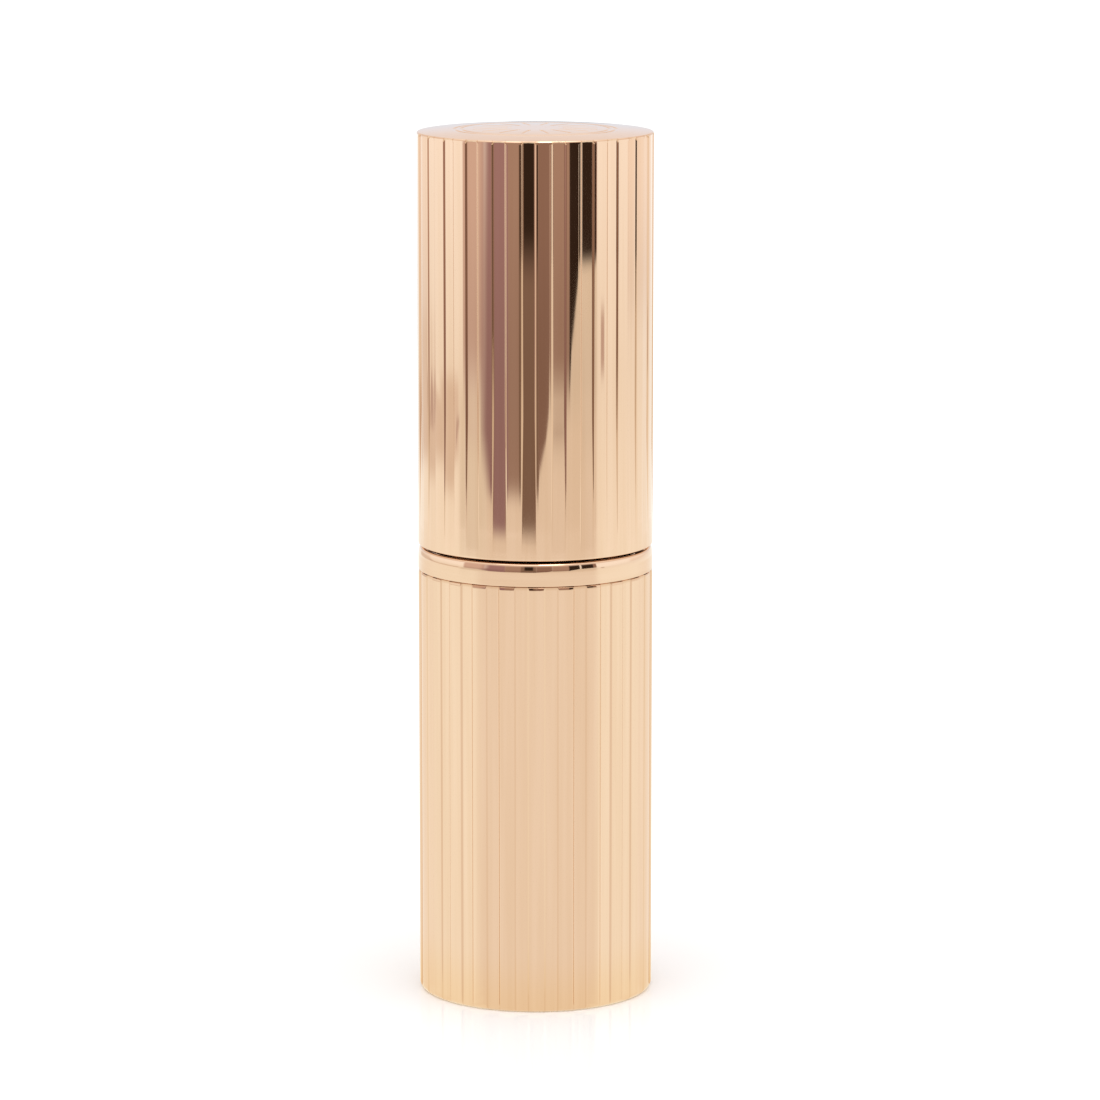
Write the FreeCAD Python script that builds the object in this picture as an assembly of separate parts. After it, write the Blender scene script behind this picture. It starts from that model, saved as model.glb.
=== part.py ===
import FreeCAD
import Part

import math
import os

# Lipstick case with a pull-off cap and a swivel-up mechanism, in millimetres.
# The case stands on its base at the origin: +Z is up its axis and -Y is its front.
# Four groups move apart: the base, the swivel sleeve, the carrier with the bullet, and the cap.
# Turning the swivel sleeve clockwise, seen from above, lifts the carrier by its lead each turn.

V = FreeCAD.Vector
UP = V(0, 0, 1)
AXIS_FOOT = V(0, 0, 0)

OVERLAP = 0.1  # how far the pieces of one solid reach into each other before they are joined
CLEAR = 1.0  # how far a cutter reaches past the metal it cuts

# Outside of the case
CASE_R = 10.4  # radius over the ribs, and of the smooth band between cap and base
RIM_Z = 76.8  # edge of the crown
DOME_RISE = 0.3  # crown's rise from its edge to its flat middle
CROWN_FLAT_R = 1.8
SEAM_Z = 40.3  # lower edge of the cap
BAND_TOP_Z = 40.1
BAND_LOW_Z = 38.05

# Ribs and channels round both shells
RIB_COUNT = 25
RIB_DEG = 7.1  # a rib's flat top
WALL_DEG = 0.9  # one slanted side of a rib
CHANNEL_DEPTH = 0.12
CAP_TURN_DEG = 0.5  # angle of the cap's first rib from +X
BASE_TURN_DEG = -3.1  # angle of the base's first rib from +X
CAP_LIP = 0.45  # plain lip below the cap's channels
CAP_CHANNEL_TOP_Z = 76.75
CAP_CHANNEL_FADE = 12.0  # height over which the cap's channels run out towards the lip

# Edge roundings
CROWN_EDGE_R = 0.15
CAP_FOOT_R = 0.18
BAND_TOP_R = 0.6
BAND_LOW_R = 0.12
BASE_TOP_R = 0.25
BASE_FOOT_R = 0.5

# Nested radii, from the axis outwards
BULLET_R = 6.05
CUP_R = 6.45
TUBE_BORE_R = 6.52
TUBE_R = 7.04
SPIRAL_BORE_R = 7.1
SPIRAL_R = 7.66
SLEEVE_BORE_R = 7.68
SLEEVE_R = 8.05
NECK_BORE_R = 8.15
NECK_R = 8.72
LINER_BORE_R = 8.95
LINER_R = 9.38
SHELL_BORE_R = 9.4
CORE_BORE_R = 8.75

# Base
BASE_SHELL_TOP_Z = 38.0
FLOOR_TOP_Z = 1.4
LABEL_RECESS_R = 8.6
LABEL_RECESS = 0.4
LABEL_R = 8.3
LABEL_THICK = 0.12
WEIGHT_R = 8.7
WEIGHT_HEIGHT = 9.2
WEIGHT_HOLE_R = 1.6
CORE_FOOT_Z = 1.45
CORE_TOP_Z = 32.95
WEB_LOW_Z = 12.0
WEB_TOP_Z = 13.4
SOCKET_TOP_Z = 17.8
SOCKET_R = 8.0
GUSSET_COUNT = 6
GUSSET_THICK = 0.9
GUSSET_TOP_Z = 16.4

# Neck
NECK_FOOT_Z = 33.0
NECK_TOP_Z = 46.8
SPIGOT_R = 9.38
NECK_LIP_R = 0.2
CLICK_GROOVE_Z = 43.4
CLICK_GROOVE_HEIGHT = 0.9
CLICK_GROOVE_DEPTH = 0.1

# Swivel mechanism
TRAVEL = 20.0
LEAD = 15.0  # rise of the carrier for each turn
LUG_R = 0.9
LUG_REACH_R = 7.55
LUG_GAP = 0.08
SLOT_REACH = 0.4  # how far the helical cutters reach past the spiral's wall
SLOT_END_GAP = 0.425  # room beyond the lugs at both ends of a helical slot
LUG_Z = 24.5
FLANGE_R = 7.62
FLANGE_LOW_Z = 17.95
FLANGE_THICK = 0.6
O_RING_SECTION_R = 0.28
O_RING_GAP = 0.05
TUBE_TOP_Z = 54.9
SPIRAL_TOP_Z = 54.6
SLEEVE_TOP_Z = 55.3
SLEEVE_LIP = 0.35
SLEEVE_MOUTH_R = 6.6
SLEEVE_EDGE_R = 0.25

# Carrier and bullet
CUP_FOOT_Z = 22.5
CUP_TOP_Z = 34.3
CUP_FLOOR = 1.4
CUP_HOLE_R = 2.0
BULLET_TOP_Z = 54.2
BULLET_SLANT_DROP = 10.5
BULLET_EDGE_R = 0.9

# Cap
CAP_BORE_TOP_Z = 76.1
CAP_WEIGHT_R = 9.3
CAP_WEIGHT_LOW_Z = 75.3
LINER_FOOT_Z = 40.9
LINER_CROWN = 0.5
PAD_COUNT = 6
PAD_REACH_R = 8.78
PAD_DEG = 14.0
PAD_LOW_Z = 41.4
PAD_TOP_Z = 45.6

# Plain ornament engraved in the crown: two rings and a ring of short rays
ORNAMENT_DEPTH = 0.06
ORNAMENT_RING_RS = (7.1, 6.5)
ORNAMENT_RING_WIDTH = 0.2
RAY_COUNT = 16
RAY_INNER_R = 2.6
RAY_OUTER_R = 5.4
RAY_WIDTH = 0.22


def polar(radius, degrees, z=0.0):
    """A point at that radius and angle about the axis."""
    angle = math.radians(degrees)
    return V(radius * math.cos(angle), radius * math.sin(angle), z)


def tube(outer, inner, low, top):
    """A plain tube about the axis."""
    height = top - low
    foot = V(0, 0, low)
    return Part.makeCylinder(outer, height, foot, UP).cut(
        Part.makeCylinder(inner, height, foot, UP)
    )


def disc(radius, low, top):
    """A plain cylinder about the axis."""
    return Part.makeCylinder(radius, top - low, V(0, 0, low), UP)


def turned(steps):
    """A solid turned from a half section. A step is (radius, z), or (radius, z, bow_radius, bow_z)
    where an arc through the bow point comes before the step."""
    start = V(steps[0][0], 0, steps[0][1])
    edges = []
    here = start
    for step in steps[1:]:
        there = V(step[0], 0, step[1])
        if len(step) == 4:
            edges.append(Part.Arc(here, V(step[2], 0, step[3]), there).toShape())
        else:
            edges.append(Part.LineSegment(here, there).toShape())
        here = there
    edges.append(Part.LineSegment(here, start).toShape())
    face = Part.Face(Part.Wire(edges))
    return face.revolve(AXIS_FOOT, UP, 360)


def corner(radius, z, rounding, out=1, up=1):
    """The middle of a quarter-circle rounding whose square corner is at radius and z."""
    inset = rounding * (1 - math.sqrt(0.5))
    return radius - out * inset, z - up * inset


def ribbed_prism(low, top, turn_deg):
    """The ribbed outline of the case, drawn once round and raised from low to top."""
    pitch = 360.0 / RIB_COUNT
    floor_r = CASE_R - CHANNEL_DEPTH
    edges = []
    for k in range(RIB_COUNT):
        middle = k * pitch + turn_deg
        rib_start = middle - RIB_DEG / 2
        rib_end = middle + RIB_DEG / 2
        floor_start = rib_end + WALL_DEG
        floor_end = rib_start + pitch - WALL_DEG
        floor_middle = middle + pitch / 2
        points = [
            polar(CASE_R, rib_start, low),
            polar(CASE_R, middle, low),
            polar(CASE_R, rib_end, low),
            polar(floor_r, floor_start, low),
            polar(floor_r, floor_middle, low),
            polar(floor_r, floor_end, low),
            polar(CASE_R, rib_start + pitch, low),
        ]
        edges.append(Part.Arc(points[0], points[1], points[2]).toShape())
        edges.append(Part.LineSegment(points[2], points[3]).toShape())
        edges.append(Part.Arc(points[3], points[4], points[5]).toShape())
        edges.append(Part.LineSegment(points[5], points[6]).toShape())
    face = Part.Face(Part.Wire(edges))
    return face.extrude(V(0, 0, top - low))


def crown_ornament():
    """The cutter for the rings and rays in the crown, following its dome."""
    dome_top = RIM_Z + DOME_RISE
    below_dome = turned(crown_outline(-ORNAMENT_DEPTH))
    cutters = []
    for radius in ORNAMENT_RING_RS:
        half = ORNAMENT_RING_WIDTH / 2
        cutters.append(tube(radius + half, radius - half, RIM_Z - CLEAR, dome_top + CLEAR))
    for k in range(RAY_COUNT):
        ray = Part.makeBox(
            RAY_OUTER_R - RAY_INNER_R,
            RAY_WIDTH,
            DOME_RISE + 2 * CLEAR,
            V(RAY_INNER_R, -RAY_WIDTH / 2, RIM_Z - CLEAR),
        )
        ray.rotate(AXIS_FOOT, UP, (k + 0.5) * 360.0 / RAY_COUNT)
        cutters.append(ray)
    return Part.makeCompound(cutters).cut(below_dome)


def crown_outline(lift):
    """The half section of the cap's whole outside, with its crown raised by lift."""
    edge_r = CASE_R - CROWN_EDGE_R
    top = RIM_Z + DOME_RISE + lift
    rim = RIM_Z + lift
    foot_r = CASE_R - CAP_FOOT_R
    return [
        (0, SEAM_Z),
        (foot_r, SEAM_Z),
        (CASE_R, SEAM_Z + CAP_FOOT_R, *corner(CASE_R, SEAM_Z, CAP_FOOT_R, 1, -1)),
        (CASE_R, rim - CROWN_EDGE_R),
        (edge_r, rim, *corner(CASE_R, rim, CROWN_EDGE_R)),
        (CROWN_FLAT_R, top, (edge_r + CROWN_FLAT_R) / 2, rim + DOME_RISE * 0.75),
        (0, top),
    ]


def cap_shell():
    """Ribbed outer shell of the cap, with a plain lip, a low domed crown and its ornament."""
    channel_low_z = SEAM_Z + CAP_LIP
    core = turned(
        [
            (0, SEAM_Z),
            (CASE_R, SEAM_Z),
            (CASE_R, channel_low_z),
            (CASE_R - CHANNEL_DEPTH, channel_low_z + CAP_CHANNEL_FADE),
            (0, channel_low_z + CAP_CHANNEL_FADE),
        ]
    )
    ribs = ribbed_prism(channel_low_z, CAP_CHANNEL_TOP_Z, CAP_TURN_DEG)
    crown = disc(CASE_R, CAP_CHANNEL_TOP_Z, RIM_Z + DOME_RISE)
    outside = ribs.fuse([core, crown]).common(turned(crown_outline(0)))
    bore = disc(SHELL_BORE_R, SEAM_Z, CAP_BORE_TOP_Z)
    return outside.cut(bore).cut(crown_ornament())


def cap_weight():
    """Steel disc held between the liner and the crown, for a heavier cap."""
    return disc(CAP_WEIGHT_R, CAP_WEIGHT_LOW_Z, CAP_BORE_TOP_Z)


def cap_liner():
    """Plastic liner glued in the cap, with pads near its mouth that grip the neck."""
    body = disc(LINER_R, LINER_FOOT_Z, CAP_WEIGHT_LOW_Z)
    body = body.cut(disc(LINER_BORE_R, LINER_FOOT_Z, CAP_WEIGHT_LOW_Z - LINER_CROWN))
    pads = []
    for k in range(PAD_COUNT):
        pad = Part.makeCylinder(
            LINER_BORE_R + OVERLAP, PAD_TOP_Z - PAD_LOW_Z, V(0, 0, PAD_LOW_Z), UP, PAD_DEG
        )
        pad = pad.cut(disc(PAD_REACH_R, PAD_LOW_Z, PAD_TOP_Z))
        pad.rotate(AXIS_FOOT, UP, k * 360.0 / PAD_COUNT - PAD_DEG / 2)
        pads.append(pad)
    return body.fuse(pads)


def base_shell():
    """Ribbed outer cup of the base, with a rounded foot and a shallow recess for the label."""
    foot_r = CASE_R - BASE_FOOT_R
    top_r = CASE_R - BASE_TOP_R
    envelope = turned(
        [
            (0, 0),
            (foot_r, 0),
            (CASE_R, BASE_FOOT_R, *corner(CASE_R, 0, BASE_FOOT_R, 1, -1)),
            (CASE_R, BASE_SHELL_TOP_Z - BASE_TOP_R),
            (top_r, BASE_SHELL_TOP_Z, *corner(CASE_R, BASE_SHELL_TOP_Z, BASE_TOP_R)),
            (0, BASE_SHELL_TOP_Z),
        ]
    )
    outside = ribbed_prism(0, BASE_SHELL_TOP_Z, BASE_TURN_DEG).common(envelope)
    bore = disc(SHELL_BORE_R, FLOOR_TOP_Z, BASE_SHELL_TOP_Z)
    recess = disc(LABEL_RECESS_R, 0, LABEL_RECESS)
    return outside.cut(bore).cut(recess)


def bottom_label():
    """Blank round label stuck in the recess under the base."""
    return disc(LABEL_R, LABEL_RECESS - LABEL_THICK, LABEL_RECESS)


def base_weight():
    """Steel slug that makes the base heavy."""
    top = CORE_FOOT_Z + WEIGHT_HEIGHT
    return tube(WEIGHT_R, WEIGHT_HOLE_R, CORE_FOOT_Z, top)


def base_core():
    """Plastic core of the base: a sleeve with a web and the socket that holds the inner tube."""
    sleeve = tube(LINER_R, CORE_BORE_R, CORE_FOOT_Z, CORE_TOP_Z)
    web = disc(CORE_BORE_R, WEB_LOW_Z, WEB_TOP_Z)
    socket = tube(SOCKET_R, TUBE_R, WEB_TOP_Z, SOCKET_TOP_Z)
    gussets = []
    for k in range(GUSSET_COUNT):
        gusset = Part.makeBox(
            CORE_BORE_R - SOCKET_R + 2 * OVERLAP,
            GUSSET_THICK,
            GUSSET_TOP_Z - WEB_TOP_Z,
            V(SOCKET_R - OVERLAP, -GUSSET_THICK / 2, WEB_TOP_Z),
        )
        gusset.rotate(AXIS_FOOT, UP, k * 360.0 / GUSSET_COUNT)
        gussets.append(gusset)
    return sleeve.fuse([web, socket] + gussets)


def collar_band():
    """Smooth metal ring pressed over the neck, seen between the cap and the base."""
    low_r = CASE_R - BAND_LOW_R
    top_r = CASE_R - BAND_TOP_R
    return turned(
        [
            (NECK_R, BAND_LOW_Z),
            (low_r, BAND_LOW_Z),
            (CASE_R, BAND_LOW_Z + BAND_LOW_R, *corner(CASE_R, BAND_LOW_Z, BAND_LOW_R, 1, -1)),
            (CASE_R, BAND_TOP_Z - BAND_TOP_R),
            (top_r, BAND_TOP_Z, *corner(CASE_R, BAND_TOP_Z, BAND_TOP_R)),
            (NECK_R, BAND_TOP_Z),
        ]
    )


def neck():
    """Neck that the cap slides on, with a click groove and a spigot pressed into the base."""
    groove_low = CLICK_GROOVE_Z - CLICK_GROOVE_HEIGHT / 2
    groove_top = CLICK_GROOVE_Z + CLICK_GROOVE_HEIGHT / 2
    groove_r = NECK_R - CLICK_GROOVE_DEPTH
    lip_r = NECK_R - NECK_LIP_R
    return turned(
        [
            (NECK_BORE_R, NECK_FOOT_Z),
            (SPIGOT_R, NECK_FOOT_Z),
            (SPIGOT_R, BAND_LOW_Z),
            (NECK_R, BAND_LOW_Z),
            (NECK_R, groove_low),
            (NECK_R, groove_top, groove_r, CLICK_GROOVE_Z),
            (NECK_R, NECK_TOP_Z - NECK_LIP_R),
            (lip_r, NECK_TOP_Z, *corner(NECK_R, NECK_TOP_Z, NECK_LIP_R)),
            (NECK_BORE_R, NECK_TOP_Z),
        ]
    )


def inner_tube():
    """Slotted tube, fixed in the core: its two upright slots keep the carrier from turning."""
    body = tube(TUBE_R, TUBE_BORE_R, WEB_TOP_Z, TUBE_TOP_Z)
    flange = tube(FLANGE_R, TUBE_R - OVERLAP, FLANGE_LOW_Z, FLANGE_LOW_Z + FLANGE_THICK)
    half = LUG_R + LUG_GAP
    across = 2 * (TUBE_R + CLEAR)
    slot = Part.makeBox(across, 2 * half, TRAVEL, V(-across / 2, -half, LUG_Z))
    ends = [
        Part.makeCylinder(half, across, V(-across / 2, 0, z), V(1, 0, 0))
        for z in (LUG_Z, LUG_Z + TRAVEL)
    ]
    return body.fuse(flange).cut(slot.fuse(ends))


def o_ring():
    """Soft brake ring that sits on the inner tube's flange under the spiral."""
    middle_r = (TUBE_R + SLEEVE_BORE_R) / 2
    middle_z = FLANGE_LOW_Z + FLANGE_THICK + O_RING_SECTION_R
    return Part.makeTorus(middle_r, O_RING_SECTION_R, V(0, 0, middle_z), UP)


def swivel_foot_z():
    """Lowest point of the two turning sleeves, just clear of the brake ring."""
    return FLANGE_LOW_Z + FLANGE_THICK + 2 * O_RING_SECTION_R + O_RING_GAP


def helical_slot(start_deg):
    """Cutter for one start of the spiral: a square bar wound on a right-hand helix."""
    middle_r = (SPIRAL_BORE_R + SPIRAL_R) / 2
    depth = (SPIRAL_R - SPIRAL_BORE_R) / 2 + SLOT_REACH
    half = LUG_R + LUG_GAP
    lead_angle = math.atan(LEAD / (2 * math.pi * middle_r))
    overrun = half * math.sin(lead_angle) + SLOT_END_GAP
    height = TRAVEL + 2 * overrun
    helix = Part.makeHelix(LEAD, height, middle_r)
    upright = V(0, -math.sin(lead_angle), math.cos(lead_angle))
    outward = V(1, 0, 0)
    middle = V(middle_r, 0, 0)
    corners = [
        middle - outward * depth - upright * half,
        middle + outward * depth - upright * half,
        middle + outward * depth + upright * half,
        middle - outward * depth + upright * half,
    ]
    profile = Part.makePolygon(corners + [corners[0]])
    bar = Part.Wire(helix.Edges).makePipeShell([profile], True, True)
    bar.translate(V(0, 0, LUG_Z - overrun))
    bar.rotate(AXIS_FOOT, UP, start_deg - 360.0 * overrun / LEAD)
    return bar


def spiral_sleeve():
    """Plastic sleeve with two helical slots that drive the carrier's lugs."""
    body = tube(SPIRAL_R, SPIRAL_BORE_R, swivel_foot_z(), SPIRAL_TOP_Z)
    return body.cut([helical_slot(0), helical_slot(180)])


def swivel_sleeve():
    """Polished metal sleeve round the spiral, with a lip turned in over the inner tube."""
    foot = swivel_foot_z()
    lip_z = SLEEVE_TOP_Z - SLEEVE_LIP
    edge_r = SLEEVE_R - SLEEVE_EDGE_R
    return turned(
        [
            (SLEEVE_BORE_R, foot),
            (SLEEVE_R, foot),
            (SLEEVE_R, SLEEVE_TOP_Z - SLEEVE_EDGE_R),
            (edge_r, SLEEVE_TOP_Z, *corner(SLEEVE_R, SLEEVE_TOP_Z, SLEEVE_EDGE_R)),
            (SLEEVE_MOUTH_R, SLEEVE_TOP_Z),
            (SLEEVE_MOUTH_R, lip_z),
            (SLEEVE_BORE_R, lip_z),
        ]
    )


def cup():
    """Carrier cup that holds the bullet, with two lugs and a hole in its floor."""
    floor_z = CUP_FOOT_Z + CUP_FLOOR
    body = disc(CUP_R, CUP_FOOT_Z, CUP_TOP_Z)
    body = body.cut(disc(BULLET_R, floor_z, CUP_TOP_Z))
    root_r = (BULLET_R + CUP_R) / 2
    lugs = [
        Part.makeCylinder(LUG_R, LUG_REACH_R - root_r, V(side * root_r, 0, LUG_Z), V(side, 0, 0))
        for side in (1, -1)
    ]
    return body.fuse(lugs).cut(disc(CUP_HOLE_R, CUP_FOOT_Z, floor_z))


def bullet():
    """Lipstick bullet with a slanted tip that faces the front."""
    floor_z = CUP_FOOT_Z + CUP_FLOOR
    body = disc(BULLET_R, floor_z, BULLET_TOP_Z)
    reach = 3 * BULLET_R
    slope = math.degrees(math.atan(BULLET_SLANT_DROP / (2 * BULLET_R)))
    above = Part.makeBox(reach * 2, reach * 2, reach * 2, V(-reach, -reach, 0))
    above.rotate(AXIS_FOOT, V(1, 0, 0), slope)
    above.translate(V(0, 0, BULLET_TOP_Z - BULLET_SLANT_DROP / 2))
    body = body.cut(above)
    tip = max(body.Faces, key=lambda face: face.CenterOfMass.z)
    return body.makeFillet(BULLET_EDGE_R, tip.Edges)


PARTS = {
    "cap_shell": cap_shell,
    "cap_weight": cap_weight,
    "cap_liner": cap_liner,
    "base_shell": base_shell,
    "bottom_label": bottom_label,
    "base_weight": base_weight,
    "base_core": base_core,
    "collar_band": collar_band,
    "neck": neck,
    "inner_tube": inner_tube,
    "o_ring": o_ring,
    "spiral_sleeve": spiral_sleeve,
    "swivel_sleeve": swivel_sleeve,
    "cup": cup,
    "bullet": bullet,
}


def main():
    os.makedirs("parts", exist_ok=True)
    for name, build in PARTS.items():
        shape = build()
        shape.exportStep("parts/" + name + ".step")
        print(name, len(shape.Solids), "solid", shape.isValid(), round(shape.Volume, 2), "mm3")


main()
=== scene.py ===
import math

import bmesh
import bpy
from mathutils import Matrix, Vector

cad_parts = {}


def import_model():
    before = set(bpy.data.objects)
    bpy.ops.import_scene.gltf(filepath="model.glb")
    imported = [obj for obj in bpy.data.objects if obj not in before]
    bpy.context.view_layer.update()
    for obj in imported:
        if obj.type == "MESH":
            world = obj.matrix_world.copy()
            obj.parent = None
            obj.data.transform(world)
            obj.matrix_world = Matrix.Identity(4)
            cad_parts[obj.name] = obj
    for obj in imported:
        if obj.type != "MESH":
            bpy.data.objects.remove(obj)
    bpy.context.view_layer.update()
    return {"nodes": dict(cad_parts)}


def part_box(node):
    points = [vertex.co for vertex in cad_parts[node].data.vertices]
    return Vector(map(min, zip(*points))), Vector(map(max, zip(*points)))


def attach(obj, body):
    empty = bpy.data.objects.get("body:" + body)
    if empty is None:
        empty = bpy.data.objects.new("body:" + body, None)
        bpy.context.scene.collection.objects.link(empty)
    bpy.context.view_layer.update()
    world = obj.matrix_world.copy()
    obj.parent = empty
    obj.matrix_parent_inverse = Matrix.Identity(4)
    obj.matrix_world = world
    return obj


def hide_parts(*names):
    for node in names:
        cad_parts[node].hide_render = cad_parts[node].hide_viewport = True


# Looks of a ribbed rose-gold lipstick case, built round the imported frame. Lengths are in metres
# unless a comment says otherwise. Rows of vertices run round the case's axis, and each row is
# skinned to the next one to make a shell.

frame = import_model()

MM = 0.001
CASE_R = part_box("collar_band")[1].x
CAP_LOW, CAP_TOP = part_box("cap_shell")[0].z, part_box("cap_shell")[1].z
BASE_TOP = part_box("base_shell")[1].z
BAND_LOW, BAND_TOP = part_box("collar_band")[0].z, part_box("collar_band")[1].z
NECK_R = 8.72 * MM
ROUND_STEPS = 192  # steps round a plain turned surface

# Ribs and channels
RIB_COUNT = 25
PITCH_DEG = 360.0 / RIB_COUNT
RIB_HALF_DEG = 3.55
WALL_DEG = 0.9
WALL_SOFT_DEG = 0.14  # how far a wall's roundings run past its two edges
CHANNEL_DEPTH = 0.12 * MM
CHANNEL_CORNER_R = 0.22 * MM
CHANNEL_END_WALL = 0.06 * MM
CAP_TURN_DEG = 0.5
BASE_TURN_DEG = -3.1
BASE_PAINTED_SHADE = 0.45  # strength of the painted shade on the base's channel walls, where the cap's is 1

# Cap
CAP_FOOT_R = 0.18 * MM
CAP_LIP = 0.45 * MM
CROWN_EDGE_R = 0.15 * MM
CROWN_EDGE_DEG = 86  # the edge's rounding turns as far as the dome's own slope
DOME_RISE = 0.3 * MM
CROWN_FLAT_R = 1.8 * MM
RIM_Z = CAP_TOP - DOME_RISE
CAP_CHANNEL_TOP = RIM_Z - 0.05 * MM
CAP_CHANNEL_FADE = 12 * MM  # height over which the channels run out towards the lip
CAP_LIP_ROW = 0.2 * MM  # height of the row in the plain lip
CHANNEL_END_ZONE = 0.5 * MM  # height of the close rows at the channels' upper ends
ROW_GAP = 0.02 * MM
SHELL_BORE_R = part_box("cap_liner")[1].x + 0.02 * MM
CAP_BORE_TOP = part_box("cap_weight")[1].z
BORE_BEVEL = 0.08 * MM

# Base and band
BASE_LEAN = 0.28 * MM  # height over which the ribs lean in under the band
BASE_TURN_R = 0.05 * MM
BAND_LEAN = 0.8 * MM
BAND_TURN_R = 0.24 * MM
BAND_FOOT_R = 0.12 * MM
LEAN_DEG = 13  # how far both edges lean before their tight turn
BASE_FOOT_R = 0.5 * MM
BASE_FLOOR_Z = 1.4 * MM
RECESS_R = 8.6 * MM
RECESS_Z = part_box("bottom_label")[1].z

# Ornament in the crown
RING_RS = (7.1 * MM, 6.5 * MM)
GROOVE_HALF = 0.1 * MM
GROOVE_SOFT = 0.06 * MM
GROOVE_DEPTH = 0.06 * MM
RAY_COUNT = 16
RAY_INNER_R = 2.6 * MM
RAY_OUTER_R = 5.4 * MM
# Where vertices lie across a groove and just beside it, as shares of half its width with its
# soft edge. BESIDE_RAY is for a ray's two sides, BESIDE_RING for the rings and the rays' ends.
ACROSS_GROOVE = (-1, -0.75, -0.5, -0.25, 0, 0.25, 0.5, 0.75, 1)
BESIDE_RAY = 1.5
BESIDE_RING = 1.6


# ---------------------------------------------------------------- mesh helpers


def smooth_step(t):
    t = min(max(t, 0.0), 1.0)
    return t * t * (3 - 2 * t)


def spread(start, end, count):
    """count + 1 even values from start to end."""
    return [start + (end - start) * k / count for k in range(count + 1)]


def arc(centre_r, centre_z, radius, start_deg, end_deg, count):
    """(radius, z) points round a rounding's centre: 0 degrees points outwards and 90 up."""
    angles = [math.radians(degrees) for degrees in spread(start_deg, end_deg, count)]
    return [(centre_r + radius * math.cos(a), centre_z + radius * math.sin(a)) for a in angles]


def spread_line(start, end, count):
    """The points strictly between two outline points."""
    return [
        (start[0] + (end[0] - start[0]) * k / count, start[1] + (end[1] - start[1]) * k / count)
        for k in range(1, count)
    ]


def leaning_edge(top_z, height, turn_r):
    """Outline of an upper edge: a long gentle lean inwards that ends in a tight turn."""
    lean = math.radians(LEAN_DEG)
    lean_r = (height - turn_r * (1 - math.sin(lean))) / math.sin(lean)
    points = arc(CASE_R - lean_r, top_z - height, lean_r, 0, LEAN_DEG, 9)
    turn_x = points[-1][0] - turn_r * math.cos(lean)
    return points + arc(turn_x, top_z - turn_r, turn_r, LEAN_DEG, 90, 9)[1:]


def even_angles(count=ROUND_STEPS):
    return [math.tau * k / count for k in range(count)]


def tighten(outline):
    """Adds a point close to both ends of every long stretch, so that flats shade flat."""
    points = [outline[0]]
    for start, end in zip(outline, outline[1:]):
        length = math.hypot(end[0] - start[0], end[1] - start[1])
        if length > 8 * ROW_GAP:
            for share in (ROW_GAP / length, 1 - ROW_GAP / length):
                points.append(tuple(a + (b - a) * share for a, b in zip(start, end)))
        points.append(end)
    return points


def filled_mesh(name, bm, material):
    """Empties a bmesh into a new mesh with one material."""
    mesh = bpy.data.meshes.new(name)
    bm.to_mesh(mesh)
    bm.free()
    mesh.materials.append(material)
    return mesh


def linked_object(name, data):
    thing = bpy.data.objects.new(name, data)
    bpy.context.collection.objects.link(thing)
    return thing


class Skin:
    """A mesh built from rows of vertices round the axis."""

    def __init__(self):
        self.bm = bmesh.new()
        # Each vertex carries a share of painted shade, which darkens the metal's colour.
        self.groove = self.bm.verts.layers.float.new("groove")

    def row(self, angles, radius, z, groove=None):
        """A closed row. radius and z are numbers or functions of the angle; groove says how much
        painted shade darkens the metal there, from 0 to 1."""
        verts = []
        for a in angles:
            r = radius(a) if callable(radius) else radius
            height = z(a) if callable(z) else z
            vert = self.bm.verts.new((r * math.cos(a), r * math.sin(a), height))
            vert[self.groove] = groove(a) if groove else 0.0
            verts.append(vert)
        return list(zip(angles, verts))

    def join(self, low, high):
        """Quads between two rows with the same angles."""
        n = len(low)
        for k in range(n):
            m = (k + 1) % n
            self.bm.faces.new((low[k][1], low[m][1], high[m][1], high[k][1]))

    def stack(self, rows):
        for low, high in zip(rows, rows[1:]):
            self.join(low, high)

    def zip(self, low, high):
        """Triangles between two rows whose angles differ."""
        low = sorted([(a % math.tau, vert) for a, vert in low], key=lambda p: p[0])
        high = sorted([(a % math.tau, vert) for a, vert in high], key=lambda p: p[0])
        i = j = 0
        while i < len(low) or j < len(high):
            a, b = low[i % len(low)][1], high[j % len(high)][1]
            next_low = low[(i + 1) % len(low)][0] + math.tau * ((i + 1) // len(low))
            next_high = high[(j + 1) % len(high)][0] + math.tau * ((j + 1) // len(high))
            if j >= len(high) or (i < len(low) and next_low <= next_high):
                i += 1
                self.bm.faces.new((a, low[i % len(low)][1], b))
            else:
                j += 1
                self.bm.faces.new((a, high[j % len(high)][1], b))

    def fan(self, row, z):
        """Closes a row with triangles to a point on the axis."""
        middle = self.bm.verts.new((0, 0, z))
        for k in range(len(row)):
            self.bm.faces.new((row[k][1], row[(k + 1) % len(row)][1], middle))

    def bore(self, rim, radius, mouth_z, end_z):
        """Closes a rim with a bevelled hole that has a straight wall and a flat end."""
        angles = even_angles()
        bevel = math.copysign(BORE_BEVEL, end_z - mouth_z)
        rows = [
            self.row(angles, radius + BORE_BEVEL, mouth_z),
            self.row(angles, radius, mouth_z + bevel),
            self.row(angles, radius, end_z),
            self.row(angles, radius * 0.5, end_z),
        ]
        self.zip(rim, rows[0])
        self.stack(rows)
        self.fan(rows[-1], end_z)

    def build(self, name, material, body, nodes):
        """Makes the object, which rides on its body and stands for its CAD nodes."""
        bmesh.ops.recalc_face_normals(self.bm, faces=self.bm.faces)
        mesh = filled_mesh(name, self.bm, material)
        for face in mesh.polygons:
            face.use_smooth = True
        piece = linked_object(name, mesh)
        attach(piece, body)
        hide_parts(*nodes)


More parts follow.
